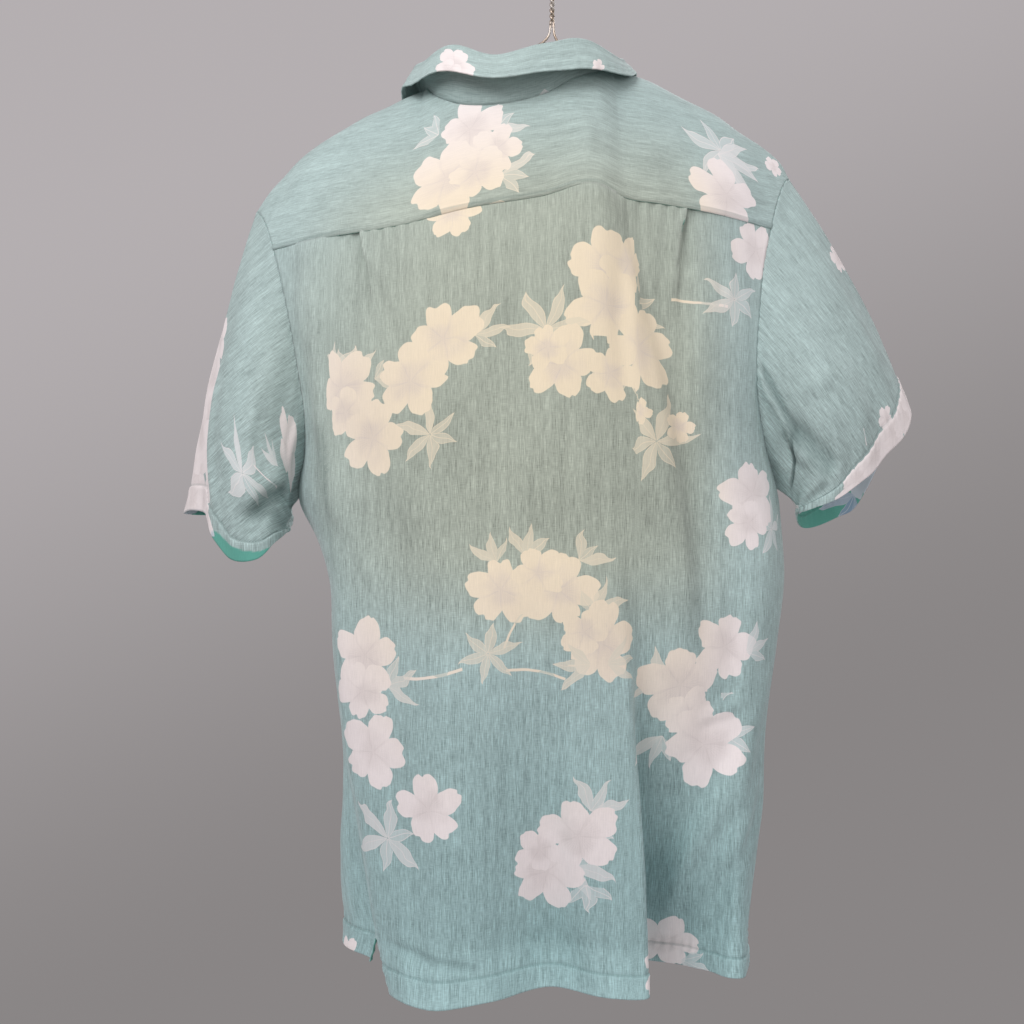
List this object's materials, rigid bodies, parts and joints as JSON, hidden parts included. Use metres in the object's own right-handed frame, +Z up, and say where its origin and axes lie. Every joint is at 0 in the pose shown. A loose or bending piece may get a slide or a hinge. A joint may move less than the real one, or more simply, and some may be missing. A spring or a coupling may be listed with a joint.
{
  "type": "hawaiian shirt on a wire hanger",
  "caption": "Short-sleeved camp shirt with a flower print, buttoned down the front, hanging by its shoulders on a twisted-wire hanger with its back to the viewer.",
  "frame": {"origin": "inside top of the hanger's hook, where a rail carries it", "axes": "+Z up, +X to the wearer's right, +Y to the front of the shirt, so the back faces -Y"},
  "size_m": [0.6549, 0.1963, 0.9152],
  "materials": {
    "cloth": "slub-woven cloth, grey-green ground with cream and pale pink flowers, soft low sheen",
    "button": "smooth pale shell-like plastic",
    "wire": "drawn steel wire, slightly coppery"
  },
  "bodies": {
    "root": {"back": "cloth", "yoke": "cloth", "front_left": "cloth", "front_right": "cloth", "sleeve_left": "cloth", "sleeve_right": "cloth", "collar": "cloth", "button_1": "button", "button_2": "button", "button_3": "button", "button_4": "button", "button_5": "button", "button_6": "button", "hanger_hook": "wire", "hanger_left_arm": "wire", "hanger_right_arm": "wire", "hanger_bar": "wire"}
  },
  "joints": []
}
